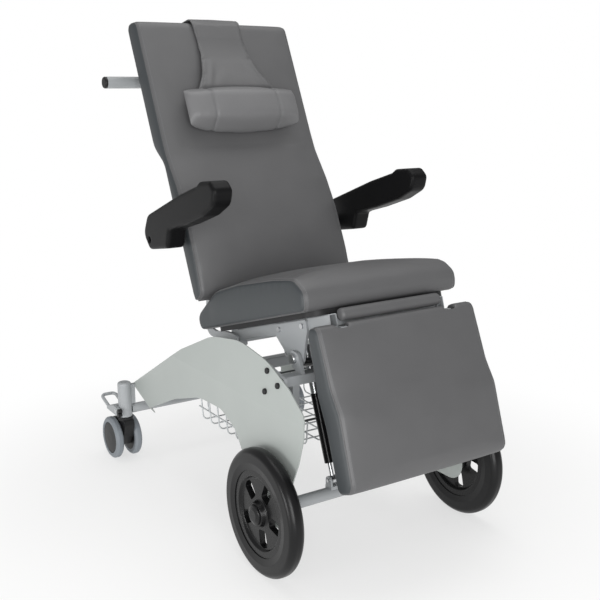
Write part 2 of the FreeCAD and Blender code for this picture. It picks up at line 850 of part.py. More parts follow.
def spring_hanger(label, out, drop, pin):
    """The fork that hangs the fixed end of a gas spring from the middle cross member."""
    body = new_body(label, SEAT)
    y = SPRING_MOUNT
    ear = rounded([(y - 11, drop - 11, 10), (y + 11, drop - 11, 10), (y + 13, 67), (y - 13, 67)])
    for start in (out - 13, out + 8):
        pad(body, [ear], "5", start=start)
    pad(body, [circle(y, drop, pin)], "26", start=out - 13)
    return body


SPRING_MOUNT = 60
LEG_SPRING_OUT = -132
LEG_SPRING_DROP = -15.6
BACK_SPRING_DROP = 8

welded("seat_cross_members", [
    seat_cross("seat_cross_front", -141, -121, 60),
    seat_cross("seat_cross_middle", 45, 75, 66),
    seat_cross("seat_cross_rear", 215, 240, 60),
    spring_hanger("leg_spring_hanger", LEG_SPRING_OUT, LEG_SPRING_DROP, 5),
    spring_hanger("back_spring_hanger", 0, BACK_SPRING_DROP, 5),
] + with_twins([strut_clevis()]))

# Backrest, in its own frame: y rearward, z up along the backrest

BACK_STEP = (370, 430)
BACK_REAR = (26, 63)


def back_board():
    """The stepped board behind the back cushion."""
    low, high = BACK_REAR
    sheet = size("back_board")
    foot, head = BACK_STEP
    outline = rounded([
        (low, -5), (low + sheet, -5), (low + sheet, foot - 5, 50), (high + sheet, head - 5, 70),
        (high + sheet, 782, 4), (high, 782, 4), (high, head - 2, 60), (low, foot - 2, 60)])
    return plate("back_board", [outline], "444", -222, BACK)


keep(back_board())

BACK_OUTLINE = [
    (26, -10, 10, 0), (26, 370, 60, 0), (63, 430, 60, 0), (63, 790, 14, 0), (3, 774, 26, 0.2),
    (4, 440, 90, 1), (2, 385, 80, 1), (-18, 290, 110, 1), (-28, 200, 130, 1), (-27, 80, 120, 0.8),
    (-20, 0, 22, 0)]
keep(cushion("back_cushion", BACK_OUTLINE, (-1, 0), "back_width", "back_crown", BACK))


def back_arm():
    """The bent bar that carries the backrest, from its hinge under the seat round its rear."""
    y = size("recline_base")
    z = size("recline_height")
    rear = BACK_REAR[0] + size("back_board")
    foot_in = BACK.multVec(Vector(0, rear, 72)) - CHASSIS.Base
    head_in = BACK.multVec(Vector(0, rear, 335)) - CHASSIS.Base
    head_out = BACK.multVec(Vector(0, rear + 22, 335)) - CHASSIS.Base
    foot_out = BACK.multVec(Vector(0, rear + 22, 50)) - CHASSIS.Base
    outline = rounded([
        (y - 17, z + 16, 15), (y + 40, z + 12, 40), (y + 92, z + 1, 30), (y + 126, z + 4, 22),
        (y + 128, z + 90, 80), (foot_in.y, foot_in.z, 90), (head_in.y, head_in.z, 5),
        (head_out.y, head_out.z, 5), (foot_out.y, foot_out.z, 60), (y + 152, z - 18, 34),
        (y - 17, z - 18, 15)])
    start = size("rail_inner") + size("rail_width") + 2
    return plate("back_arm_left", [outline], "dims.lug_sheet", start, CHASSIS)


def hinge_tube():
    """The tube across the seat frame that the backrest turns on."""
    half = size("rail_inner") + size("rail_width") + 2
    return cross_tube("back_hinge_tube", half, size("recline_base"), size("recline_height"),
                      size("hinge_tube_radius"), size("hinge_tube_radius") - 3)


def recline_lever():
    """The lever on the hinge tube that the backrest's gas spring pushes."""
    y = size("recline_base")
    z = size("recline_height")
    end = SEAT.multVec(SEAT.inverse().multVec(spot(0, y, z)) + RECLINE_LEVER) - CHASSIS.Base
    body = new_body("recline_lever", CHASSIS)
    outline = rounded([(y - 15, z + 15, 14), (y + 15, z + 15, 14), (end.y + 12, end.z - 9, 9),
                       (end.y - 9, end.z - 11, 9)])
    pad(body, [outline, circle(y, z, size("hinge_tube_radius") - 1)], "6", start=8)
    pad(body, [circle(end.y, end.z, 4)], "15", start=-7)
    return body


RECLINE_LEVER = Vector(0, 30, -52)
welded("back_frame", [hinge_tube(), recline_lever()] + with_twins([back_arm()]))


def push_bar():
    """The tube that the attendant pushes."""
    radius = size("push_bar_radius")
    half = size("push_bar_length") / 2
    place = BACK.multiply(Placement(Vector(0, size("push_bar_out"), size("push_bar_up")), ALONG_X))
    return turned("push_bar_tube", [(radius - 2, -half), (radius, -half), (radius, half),
                                    (radius - 2, half)], place)


def push_bar_plug():
    """The dark plug in the end of the push bar."""
    radius = size("push_bar_radius")
    half = size("push_bar_length") / 2
    place = BACK.multiply(Placement(Vector(0, size("push_bar_out"), size("push_bar_up")), ALONG_X))
    return turned("push_bar_plug_left", [
        (0, half - 20), (radius - 2, half - 20), (radius - 2, half), (radius - 0.2, half),
        (radius - 0.2, half + 8, 4), (0, half + 8)], place)


grouped("push_bar_plugs", with_twins([push_bar_plug()]))


def bar_bracket():
    """The welded plate between backrest and push bar."""
    out = size("push_bar_out")
    up = size("push_bar_up")
    face = BACK_REAR[1] + size("back_board")
    outline = rounded([(face, up - 60), (face + 12, up - 60, 6), (out + 20, up - 18, 20),
                       (out + 20, up + 19, 20), (out - 24, up + 19, 20), (face, up + 50)])
    hole = circle(out, up, size("push_bar_radius") - 1)
    return plate("bar_bracket_left", [outline, hole], "dims.lug_sheet", 150, BACK)


welded("push_bar", [push_bar()] + with_twins([bar_bracket()]))

# Armrests


def arm_bracket():
    """The pale bar that reaches out from the back board to an armrest, with its pivot pin."""
    rear = BACK_REAR[0] + size("back_board")
    up = size("arm_pivot_up")
    body = new_body("arm_bracket_left", BACK)
    pad(body, [box(rear, rear + 20, up - 17, up + 17, 3)], "87", start=175)
    pad(body, [circle(size("arm_pivot_out"), up, 8)], "44", start=261)
    return body


grouped("arm_brackets", with_twins([arm_bracket()]))


def armrest():
    """The moulded armrest: a hooked rear end, a slim pad and a thick upturned grip."""
    pivot = BACK.multVec(Vector(0, size("arm_pivot_out"), size("arm_pivot_up"))) - CHASSIS.Base
    outline = rounded([
        (545, 768, 30), (360, 838, 300), (265, 868, 20), (250, 879, 14), (195, 885, 14),
        (172, 866, 16), (180, 830, 30), (235, 800, 60), (330, 768, 200), (395, 750, 14),
        (415, 742, 10), (428, 696, 12), (535, 678, 14), (572, 715, 30)])
    body = new_body("armrest_left", CHASSIS)
    body_pad = pad(body, [outline, circle(pivot.y, pivot.z, 8 + size("running_gap"))],
                   "dims.arm_width", start=size("arm_inner"))
    rims = []
    for i, edge in enumerate(body_pad.Shape.Edges, start=1):
        flat = abs(edge.BoundBox.XLength) < 1e-6
        pivot_rim = edge.BoundBox.DiagonalLength < 25 and len(edge.Vertexes) == 1
        if flat and not pivot_rim:
            rims.append("Edge%d" % i)
    soft = body.newObject("PartDesign::Fillet", "armrest_left_soft")
    soft.Base = (body_pad, rims)
    soft.Radius = 9
    doc.recompute()
    return body


keep_both(armrest())

# Head pillow and its flap


def head_pillow():
    """The lens-shaped pillow on the upper backrest, lofted across its width."""
    body = new_body("head_pillow", BACK)
    middle = 500
    stations = [(172, 112, -46, -54), (166, 116, -40, -62), (152, 124, -31, -69),
                (125, 134, -22, -75), (80, 144, -15, -79), (30, 150, -12.5, -81)]
    stations += [(-x, high, rear, front) for x, high, rear, front in reversed(stations)]
    sketches = []
    for x, high, rear, front in stations:
        thick = rear - front
        lens = rounded([(rear, middle - high / 2, thick / 6), (rear, middle + high / 2, thick / 6),
                        (front, middle + high / 4, thick / 3),
                        (front, middle - high / 4, thick / 3)])
        sketches.append(draw(body, [lens], "YZ_Plane", x))
    loft = body.newObject("PartDesign::AdditiveLoft", "head_pillow_loft")
    loft.Profile = sketches[0]
    loft.Sections = sketches[1:]
    loft.Ruled = True
    doc.recompute()
    return body


keep(head_pillow())


def headrest_flap():
    """The cover flap that holds the pillow: down the front, over the top and down the rear."""
    foot = Vector(0, -48, 563)
    bend = Vector(0, -10, 650)
    head = Vector(0, -4, 780)
    crest = Vector(0, BACK_REAR[1] + size("back_board") + 1, 799)
    tail = 640
    sheet = 4
    body = doc.addObject("PartDesign::Body", "flap_strip")
    outline = rounded([
        (foot.y, foot.z), (bend.y, bend.z, 60), (head.y, head.z, 24), (crest.y, crest.z, 10),
        (crest.y, tail), (crest.y + sheet, tail), (crest.y + sheet, crest.z + sheet + 1, 14),
        (head.y - sheet, head.z + sheet, 28), (bend.y - sheet, bend.z + 1, 64),
        (foot.y - sheet, foot.z + 1.7)])
    pad(body, [outline], "300", start=-150)
    plan = doc.addObject("PartDesign::Body", "flap_plan")
    shape = rounded([(-76, 900), (-78, 690, 150), (-130, 556), (-130, 500), (130, 500), (130, 556),
                     (78, 690, 150), (76, 900)])
    pad(plan, [shape], "400", "XZ_Plane", -200)
    flap = doc.addObject("Part::Common", "headrest_flap")
    flap.Base = body
    flap.Tool = plan
    flap.Placement = BACK
    doc.recompute()
    return flap


keep(headrest_flap())

# Leg rest, in its own frame: y rearward, z up along the leg rest, from its hinge


def leg_board():
    """The stepped board behind the leg cushion."""
    outline = rounded([
        (32, -78), (32, -132, 60), (22, -202, 60), (22, -332, 3), (31, -332, 3), (31, -203, 50),
        (41, -134, 70), (41, -78)])
    return plate("leg_board", [outline], "420", -210, LEG)


keep(leg_board())


def leg_arm():
    """The ear that hangs the leg rest from its hinge pin."""
    outline = rounded([
        (-11, 11, 10), (14, 12, 11), (62, -34, 20), (62, -130, 6), (41.2, -130, 4), (41.2, -76, 8),
        (33, -66, 6), (30, -42, 10), (-11, -11, 10)])
    body = plate("leg_arm_left", [outline], "dims.lug_sheet", 140, LEG)
    pad(body, [circle(0, 0, 6)], "22", start=140)
    return body


def leg_lever_pin():
    """The pin on the right ear that the leg rest's gas spring pushes."""
    return plate("leg_lever_pin", [circle(LEG_LEVER.y, LEG_LEVER.z, 4)], "22", -148, LEG)


LEG_LEVER = Vector(0, 41, -54)
welded("leg_arms", with_twins([leg_arm()]) + [leg_lever_pin()])

LEG_OUTLINE = [
    (26, 20, 18, 0), (-14, 20, 18, 0), (-23, -122, 60, 1), (-37, -176, 60, 1), (-34, -342, 26, 0.3),
    (22, -342, 12, 0), (22, -200, 60, 0), (32, -130, 60, 0)]


def leg_cushion():
    """The calf cushion, with notches at its top for the hinge ears and the gas spring's eye."""
    body = cushion("leg_cushion", LEG_OUTLINE, (-1, 0), "leg_width", "leg_crown", LEG)
    for start in (170, -138):
        cut(body, [box(-14, 40, -52, 40)], "32", start=start)
    cut(body, [box(12, 45, -82, 40)], "22", start=-120)
    return body


keep(leg_cushion())

# Gas springs of the leg rest and the backrest, along the seat


def spring_cylinder(label, place, length, outer):
    """A pressure tube from its mounting eye to the gland that the rod comes out of."""
    bore = outer - 1.6
    rod = 5 + size("running_gap")
    body = new_body(label, place)
    revolve(body, rounded([(0, 6), (6, 6), (6, 14), (outer, 14, 2), (outer, length, 2),
                           (rod, length), (rod, length - 10), (bore, length - 10), (bore, 20),
                           (0, 20)]))
    pad(body, [circle(0, 0, 10), circle(0, 0, 5)], "14", start=-7)
    return body


def spring_rod(label, place, start, end, bore, slack):
    """The rod with its piston inside the tube and a slotted eye at its free end."""
    body = new_body(label, place)
    piston = bore - size("running_gap")
    revolve(body, rounded([(0, start), (piston, start), (piston, start + 8), (5, start + 8),
                           (5, end - 6), (0, end - 6)]))
    eye = box(-slack - 9, slack + 9, end - 9, end + 9, 8)
    slot = box(-slack - 4.5, slack + 4.5, end - 5, end + 5, 4.4)
    pad(body, [eye, slot], "12", start=-6)
    return body


def along_seat(x, drop, heading):
    """A spring's frame: from its mount under the seat, with its length along local Z."""
    return SEAT.multiply(Placement(Vector(x, SPRING_MOUNT, drop),
                                   Rotation(Vector(1, 0, 0), heading)))


LEG_SPRING = along_seat(LEG_SPRING_OUT, LEG_SPRING_DROP, 90)
BACK_SPRING = along_seat(0, BACK_SPRING_DROP, -90)
leg_eye = LEG_SPRING.inverse().multVec(LEG.multVec(LEG_LEVER)).z
back_eye = BACK_SPRING.inverse().multVec(
    SEAT.multVec(SEAT.inverse().multVec(spot(0, size("recline_base"), size("recline_height")))
                 + RECLINE_LEVER)).z
keep(spring_cylinder("leg_spring_cylinder", LEG_SPRING, 135, 10))
keep(spring_rod("leg_spring_rod", LEG_SPRING, 36, leg_eye, 8.4, 7.5))
keep(spring_cylinder("back_spring_cylinder", BACK_SPRING, 175, 11))
keep(spring_rod("back_spring_rod", BACK_SPRING, 90, back_eye, 9.4, 5.5))

# Check every sub-part and write it out

doc.recompute()
for item in doc.Objects:
    if "Invalid" in item.State or "Error" in item.State:
        raise RuntimeError("%s did not recompute" % item.Label)
os.makedirs("parts", exist_ok=True)
for piece in finished:
    if piece.Shape.isNull() or not piece.Shape.isValid():
        raise RuntimeError("%s has no valid shape" % piece.Label)
    piece.Shape.exportStep("parts/%s.step" % piece.Label)
    print("%-26s %8.1f cm3" % (piece.Label, piece.Shape.Volume / 1000))
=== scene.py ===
import json
from math import exp, hypot, radians, sin

import bpy
from mathutils import Matrix, Vector


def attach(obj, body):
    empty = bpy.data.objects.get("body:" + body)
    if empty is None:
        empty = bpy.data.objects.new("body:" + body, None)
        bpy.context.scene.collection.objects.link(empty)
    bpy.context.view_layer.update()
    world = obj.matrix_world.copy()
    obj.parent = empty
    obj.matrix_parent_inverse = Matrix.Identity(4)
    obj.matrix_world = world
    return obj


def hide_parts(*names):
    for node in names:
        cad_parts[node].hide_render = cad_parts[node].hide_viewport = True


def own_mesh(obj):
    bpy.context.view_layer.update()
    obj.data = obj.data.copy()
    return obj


# The looks of a patient transfer chair: cushions, stitching, finishes, camera and studio light.
# Metres, in the chair's own frame: +Z up, the patient faces -Y.

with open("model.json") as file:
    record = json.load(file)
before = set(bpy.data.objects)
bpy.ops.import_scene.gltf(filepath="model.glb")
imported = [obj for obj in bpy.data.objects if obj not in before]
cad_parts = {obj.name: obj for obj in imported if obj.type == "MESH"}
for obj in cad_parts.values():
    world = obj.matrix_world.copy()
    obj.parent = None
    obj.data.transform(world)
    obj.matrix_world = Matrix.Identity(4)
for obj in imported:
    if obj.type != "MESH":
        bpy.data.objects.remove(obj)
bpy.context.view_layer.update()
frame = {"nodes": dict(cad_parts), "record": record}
scene = bpy.context.scene
cad = frame["nodes"]
SIDES = (("left", 1), ("right", -1))

# Frames of the leaning units, as the construction has them

AXLE = -0.346


def leaning(y, z, angle):
    """The frame of a unit that leans back by an angle, with y measured from the front axle."""
    return Matrix.Translation((0, AXLE + y, z)) @ Matrix.Rotation(radians(-angle), 4, "X")


SEAT = leaning(0.055, 0.481, 17)
BACK = leaning(0.415, 0.565, 25)
LEG = leaning(-0.095, 0.575, 19.5)

# Camera at the photograph's place

CAMERA_EYE = (-1.299, AXLE - 1.669, 1.102)
CAMERA_DOWN = 13.2
CAMERA_TURN = -33.4
SENSOR_MM = 36
LENS_MM = 55.68


def photograph():
    """A camera low in front of the chair's right side, with a slightly long lens."""
    lens = bpy.data.cameras.new("photograph")
    lens.sensor_fit = "HORIZONTAL"
    lens.sensor_width = SENSOR_MM
    lens.lens = LENS_MM
    eye = bpy.data.objects.new("photograph", lens)
    eye.location = CAMERA_EYE
    eye.rotation_euler = (radians(90 - CAMERA_DOWN), 0, radians(CAMERA_TURN))
    scene.collection.objects.link(eye)
    scene.camera = eye


photograph()

# Tools for materials


def linear(hexadecimal):
    """An sRGB colour as the linear values that a shader takes."""
    colour = []
    for start in (1, 3, 5):
        value = int(hexadecimal[start:start + 2], 16) / 255
        colour.append(value / 12.92 if value <= 0.04045 else ((value + 0.055) / 1.055) ** 2.4)
    return (*colour, 1)


def add(tree, kind, inputs=(), **settings):
    """Adds a node, with its settings, and its inputs as values or as links from other sockets."""
    node = tree.nodes.new("ShaderNode" + kind)
    for name, value in settings.items():
        setattr(node, name, value)
    for name, value in dict(inputs).items():
        if isinstance(value, bpy.types.NodeSocket):
            tree.links.new(value, node.inputs[name])
        else:
            node.inputs[name].default_value = value
    return node


def surface(name, **values):
    """A new material: its tree, its shader and the coordinates of the piece in metres."""
    material = bpy.data.materials.new(name)
    material.use_nodes = True
    tree = material.node_tree
    shader = tree.nodes["Principled BSDF"]
    for socket, value in values.items():
        shader.inputs[socket.replace("_", " ")].default_value = value
    place = add(tree, "TexCoord").outputs["Object"]
    return material, tree, shader, place


# Materials

VINYL_GRAIN = 0.002


def grained_vinyl(name, dark, light):
    """Artificial leather on foam: even mid grey, a fine pebble grain, a soft broad sheen.

    The side panels are painted a darker, bluer grey as shade where they turn from the light.
    The real grain is about 1 mm, drawn at 2 mm so that it shows.
    """
    material, tree, shader, place = surface(name, IOR=1.5)
    grain = add(tree, "TexVoronoi", {"Vector": place, "Scale": 1 / VINYL_GRAIN, "Randomness": 1.0},
                feature="SMOOTH_F1")
    cloud = add(tree, "TexNoise", {"Vector": place, "Scale": 14.0, "Detail": 4.0})
    # Painted shade: the side panels take a darker, bluer grey for the sides that turn from the
    # light.
    side = add(tree, "Attribute", attribute_name="shaded_side_panel")
    face = add(tree, "Mix", {0: cloud.outputs["Fac"], 6: linear(dark), 7: linear(light)},
               data_type="RGBA")
    shaded_flank = add(tree, "Mix", {0: cloud.outputs["Fac"], 6: linear("#2d3134"), 7: linear("#333739")},
                data_type="RGBA")
    colour = add(tree, "Mix", {0: side.outputs["Fac"], 6: face.outputs[2], 7: shaded_flank.outputs[2]},
                 data_type="RGBA")
    tree.links.new(colour.outputs[2], shader.inputs["Base Color"])
    rough = add(tree, "MapRange", {0: cloud.outputs["Fac"], 3: 0.46, 4: 0.56})
    tree.links.new(rough.outputs[0], shader.inputs["Roughness"])
    bump = add(tree, "Bump", {"Strength": 0.10, "Distance": 0.0006,
                              "Height": grain.outputs["Distance"]})
    tree.links.new(bump.outputs[0], shader.inputs["Normal"])
    return material


def powder_coat(name, dark, light, roughness):
    """Baked powder paint on steel: satin, with a faint orange peel about 3 mm across."""
    material, tree, shader, place = surface(name, IOR=1.5)
    cloud = add(tree, "TexNoise", {"Vector": place, "Scale": 6.0, "Detail": 3.0})
    colour = add(tree, "Mix", {0: cloud.outputs["Fac"], 6: linear(dark), 7: linear(light)},
                 data_type="RGBA")
    tree.links.new(colour.outputs[2], shader.inputs["Base Color"])
    peel = add(tree, "TexNoise", {"Vector": place, "Scale": 330.0, "Detail": 2.0})
    rough = add(tree, "MapRange", {0: peel.outputs["Fac"], 3: roughness - 0.04,
                                   4: roughness + 0.06})
    tree.links.new(rough.outputs[0], shader.inputs["Roughness"])
    bump = add(tree, "Bump", {"Strength": 0.08, "Distance": 0.0004, "Height": peel.outputs["Fac"]})
    tree.links.new(bump.outputs[0], shader.inputs["Normal"])
    return material


def zinc_plate():
    """Zinc-plated steel: bright, slightly cloudy, with fine turning marks."""
    material, tree, shader, place = surface("zinc_plate", Metallic=1.0)
    cloud = add(tree, "TexNoise", {"Vector": place, "Scale": 90.0, "Detail": 4.0})
    colour = add(tree, "Mix", {0: cloud.outputs["Fac"], 6: linear("#aeb0b2"), 7: linear("#d6d7d8")},
                 data_type="RGBA")
    tree.links.new(colour.outputs[2], shader.inputs["Base Color"])
    rough = add(tree, "MapRange", {0: cloud.outputs["Fac"], 3: 0.22, 4: 0.38})
    tree.links.new(rough.outputs[0], shader.inputs["Roughness"])
    return material


def basket_wire():
    """Welded wire with bright zinc, and a rim dipped in dark grey plastic."""
    material, tree, shader, place = surface("basket_wire", IOR=1.5)
    height = add(tree, "SeparateXYZ", {0: place})
    rim = add(tree, "MapRange", {0: height.outputs["Z"], 1: 0.2835, 2: 0.2848})
    cloud = add(tree, "TexNoise", {"Vector": place, "Scale": 160.0, "Detail": 2.0})
    bright = add(tree, "Mix", {0: cloud.outputs["Fac"], 6: linear("#b4b7b8"), 7: linear("#cccfd0")},
                 data_type="RGBA")
    colour = add(tree, "Mix", {0: rim.outputs[0], 6: bright.outputs[2], 7: linear("#3f4142")},
                 data_type="RGBA")
    tree.links.new(colour.outputs[2], shader.inputs["Base Color"])
    metal = add(tree, "MapRange", {0: rim.outputs[0], 3: 0.3, 4: 0.0})
    tree.links.new(metal.outputs[0], shader.inputs["Metallic"])
    rough = add(tree, "MapRange", {0: cloud.outputs["Fac"], 3: 0.32, 4: 0.45})
    tree.links.new(rough.outputs[0], shader.inputs["Roughness"])
    return material


def moulded(name, dark, light, roughness, grit, gloss=0.3):
    """Moulded plastic, rubber or laminate: a fine grit that greys it where light rakes."""
    material, tree, shader, place = surface(name, IOR=1.46, Specular_IOR_Level=gloss)
    cloud = add(tree, "TexNoise", {"Vector": place, "Scale": 25.0, "Detail": 5.0})
    colour = add(tree, "Mix", {0: cloud.outputs["Fac"], 6: linear(dark), 7: linear(light)},
                 data_type="RGBA")
    tree.links.new(colour.outputs[2], shader.inputs["Base Color"])
    texture = add(tree, "TexNoise", {"Vector": place, "Scale": 1 / grit, "Detail": 2.0})
    rough = add(tree, "MapRange", {0: texture.outputs["Fac"], 3: roughness - 0.06,
                                   4: roughness + 0.08})
    tree.links.new(rough.outputs[0], shader.inputs["Roughness"])
    bump = add(tree, "Bump", {"Strength": 0.12, "Distance": grit / 4,
                              "Height": texture.outputs["Fac"]})
    tree.links.new(bump.outputs[0], shader.inputs["Normal"])
    return material


def sewing_thread():
    """Twisted polyester thread in the cover's grey, a little lighter than the cover."""
    material, tree, shader, place = surface("sewing_thread", Roughness=0.6)
    twist = add(tree, "TexWave", {"Vector": place, "Scale": 400.0, "Distortion": 1.0})
    colour = add(tree, "Mix", {0: twist.outputs["Fac"], 6: linear("#5a5b5c"), 7: linear("#757678")},
                 data_type="RGBA")
    tree.links.new(colour.outputs[2], shader.inputs["Base Color"])
    return material


vinyl = grained_vinyl("grained_vinyl", "#4f4f50", "#565657")
pillow_vinyl = grained_vinyl("pillow_vinyl", "#636364", "#6b6b6c")
thread = sewing_thread()
FINISHES = {
    # Painted steel: pale and slightly green on the bent sheets, darker and cooler on the tubes
    "sheet_paint": powder_coat("pale_powder_coat", "#999e9b", "#a1a6a3", 0.42),
    "frame_paint": powder_coat("silver_powder_coat", "#8f9294", "#9b9ea0", 0.36),
    # Bare metal: bright pins and bolts, duller wire
    "bright_steel": zinc_plate(),
    "wire_grey": basket_wire(),
    # Dark pieces: shiny enamel, satin plastic, soft matt foam, wheels with a clear highlight
    "spring_black": moulded("black_enamel", "#0d0d0e", "#151516", 0.2, 0.004),
    "black_plastic": moulded("eroded_abs", "#161617", "#1f1f20", 0.42, 0.0016),
    "arm_foam": moulded("skin_foam", "#0b0b0c", "#111112", 0.42, 0.0014, 0.14),
    "wheel_plastic": moulded("moulded_nylon", "#0b0b0c", "#121213", 0.27, 0.003),
    "tyre_black": moulded("solid_tyre", "#0c0c0d", "#131314", 0.32, 0.003),
    # Matt pieces: grey treads of the casters, dark boards under the cushions
    "caster_grey": moulded("grey_tread", "#70757a", "#7d8287", 0.5, 0.002),
    "board_black": moulded("laminate_board", "#1a1a1b", "#232324", 0.5, 0.002),
    "upholstery": vinyl,
}
for part in frame["record"]["subparts"]:
    finish = cad[part["node"]].data.materials
    finish.clear()
    finish.append(FINISHES[part["material_slot"]])

# Tools for pieces

SWELL_FRAMES = 20


def clamped(share):
    """A share, kept between nothing and all."""
    return min(max(share, 0), 1)


def alone(piece):
    """Selects one piece and nothing else."""
    bpy.ops.object.select_all(action="DESELECT")
    piece.select_set(True)
    bpy.context.view_layer.objects.active = piece


def applied(piece, kind, **settings):
    """Adds a modifier with its settings and applies it."""
    modifier = piece.modifiers.new(kind.lower(), kind)
    for name, value in settings.items():
        setattr(modifier, name, value)
    alone(piece)
    bpy.ops.object.modifier_apply(modifier=modifier.name)


def hung(piece, body, slot, material, *replaced):
    """Gives a finished piece its material, its body and the solids that it stands for."""
    piece.data.materials.clear()
    piece.data.materials.append(material)
    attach(piece, body)
    if replaced:
        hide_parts(*replaced)
    return piece


def merged_copy(name, source):
    """A piece that starts as a copy of another one's mesh, with its faces joined."""
    piece = bpy.data.objects.new(name, source.data.copy())
    scene.collection.objects.link(piece)
    alone(piece)
    bpy.ops.object.mode_set(mode="EDIT")
    bpy.ops.mesh.select_all(action="SELECT")
    bpy.ops.mesh.remove_doubles(threshold=0.00005)
    bpy.ops.object.mode_set(mode="OBJECT")
    return piece


def stuffed(piece, voxel, cap, pressure, held):
    """Blows a cover up like cloth over foam, held where it is sewn down or rests on its board."""
    piece.data.remesh_voxel_size = voxel
    alone(piece)
    bpy.ops.object.voxel_remesh()
    start = [vertex.co.copy() for vertex in piece.data.vertices]
    pins = piece.vertex_groups.new(name="held")
    pins.add([i for i, place in enumerate(start) if held(place)], 1.0, "REPLACE")
    cloth = piece.modifiers.new("stuffing", "CLOTH")
    cloth.settings.quality = 4
    cloth.settings.mass = 0.012
    cloth.settings.tension_stiffness = 12
    cloth.settings.compression_stiffness = 12
    cloth.settings.bending_stiffness = 1.5
    cloth.settings.use_pressure = True
    cloth.settings.uniform_pressure_force = pressure
    cloth.settings.effector_weights.gravity = 0
    cloth.settings.vertex_group_mass = "held"
    cloth.point_cache.frame_end = SWELL_FRAMES
    for number in range(1, SWELL_FRAMES + 1):
        scene.frame_set(number)
    bpy.ops.object.modifier_apply(modifier="stuffing")
    scene.frame_set(1)
    for vertex, place in zip(piece.data.vertices, start):
        step = vertex.co - place
        if step.length > cap:
            vertex.co = place + step * (cap / step.length)
    piece.vertex_groups.clear()
    applied(piece, "SMOOTH", factor=0.5, iterations=4)
    applied(piece, "SUBSURF", levels=1, render_levels=1)
    alone(piece)
    bpy.ops.object.shade_smooth()


def sunk(piece, depth, width, distance):
    """Presses a sewn line into a cover: deepest where the distance to the line is nothing."""
    mesh = piece.data
    shifts = []
    for vertex in mesh.vertices:
        near = distance(vertex.co) / width
        shifts.append(vertex.normal * (-depth * exp(-near * near)))
    for vertex, shift in zip(mesh.vertices, shifts):
        vertex.co += shift


def paint_side_shade(piece, edge):
    """Marks a cover's side panels for painted shade, a darker, bluer grey."""
    side_shade = piece.data.attributes.new("shaded_side_panel", "FLOAT", "POINT")
    for vertex in piece.data.vertices:
        outside = (abs(vertex.co.x) - edge) / 0.002
        side_shade.data[vertex.index].value = clamped(outside)


def section(piece, across):
    """The closed line along which an upright plane cuts a piece, at a distance from its middle."""
    line = merged_copy("line", piece)
    bpy.ops.object.mode_set(mode="EDIT")
    bpy.ops.mesh.select_all(action="SELECT")
    bpy.ops.mesh.bisect(plane_co=(across, 0, 0), plane_no=(1, 0, 0),
                        clear_inner=True, clear_outer=True)
    bpy.ops.object.mode_set(mode="OBJECT")
    bpy.ops.object.convert(target="CURVE")
    return line


def welt(name, line, radius):
    """A round welt along a line, half sunk in the cover."""
    line.name = name
    line.data.bevel_depth = radius
    line.data.bevel_resolution = 2
    alone(line)
    bpy.ops.object.convert(target="MESH")
    bpy.ops.object.shade_smooth()
    return line


STITCH = 0.0042
PITCH = 0.0058
THREAD_RADIUS = 0.0005


def stitches(name, line):
    """A row of stitches along a line: one stitch with tapered ends, repeated and bent to it."""
    bpy.ops.object.select_all(action="DESELECT")
    bpy.ops.mesh.primitive_cylinder_add(vertices=6, radius=THREAD_RADIUS, depth=STITCH * 0.6,
                                        rotation=(0, radians(90), 0))
    row = bpy.context.object
    row.name = name
    bpy.ops.object.transform_apply(location=True, rotation=True, scale=True)
    bpy.ops.object.mode_set(mode="EDIT")
    for end in (-1, 1):
        bpy.ops.mesh.select_all(action="DESELECT")
        bpy.ops.object.mode_set(mode="OBJECT")
        for face in row.data.polygons:
            face.select = face.normal.x * end > 0.9
        bpy.ops.object.mode_set(mode="EDIT")
        bpy.ops.mesh.select_mode(type="FACE")
        bpy.ops.mesh.extrude_region_move(
            TRANSFORM_OT_translate={"value": (end * STITCH * 0.2, 0, 0)})
        bpy.ops.transform.resize(value=(1, 0.35, 0.35))
    bpy.ops.object.mode_set(mode="OBJECT")
    applied(row, "ARRAY", fit_type="FIT_CURVE", curve=line, use_relative_offset=False,
            use_constant_offset=True, constant_offset_displace=(PITCH, 0, 0))
    applied(row, "CURVE", object=line, deform_axis="POS_X")
    bpy.ops.object.shade_smooth()
    bpy.data.objects.remove(line)
    return row


# Cushions

SEAT_EDGE = 0.2165
BACK_EDGE = 0.2355
LEG_EDGE = 0.2225
CUSHION_PRESSURE = 4.0
SEAM_GRIP = 0.004
SEAM_DEPTH = 0.0016
SEAM_WIDTH = 0.005
WELT_RADIUS = 0.0013
STITCH_INSET = 0.007


def back_rear(up):
    """How far behind its frame the back board's front lies, at a height along the back."""
    return 0.026 + 0.037 * clamped((up - 0.370) / 0.060)


def leg_rear(up):
    """How far behind its frame the leg board's front lies, at a height along the leg rest."""
    return 0.032 - 0.010 * clamped((-0.130 - up) / 0.070)


def off_seam(place, edge):
    """The distance from the nearer of the two seams that run along a cover's sides."""
    return abs(abs(place.x) - edge)


def on_back_board(place):
    """Where the back's cover keeps still: on its board, under the pillow, at its foot and seams."""
    local = BACK.inverted() @ place
    boarded = local.y > back_rear(local.z) - 0.008
    under_pillow = abs(place.x) < 0.19 and local.z > 0.40
    at_foot = local.z < 0.03
    return boarded or under_pillow or at_foot or off_seam(place, BACK_EDGE) < SEAM_GRIP


def on_seat_board(place):
    """Where the seat's cover keeps still: on its board, at its rear end and seams."""
    local = SEAT.inverted() @ place
    boarded = local.z < 0.106
    at_rear = local.y > 0.30
    return boarded or at_rear or off_seam(place, SEAT_EDGE) < SEAM_GRIP


def on_leg_board(place):
    """Where the leg rest's cover keeps still: on its board, at its notch, top and seams."""
    local = LEG.inverted() @ place
    boarded = local.y > leg_rear(local.z) - 0.007
    notched = local.z > -0.095 and local.y > -0.016
    at_top = local.z > -0.01
    return boarded or notched or at_top or off_seam(place, LEG_EDGE) < SEAM_GRIP


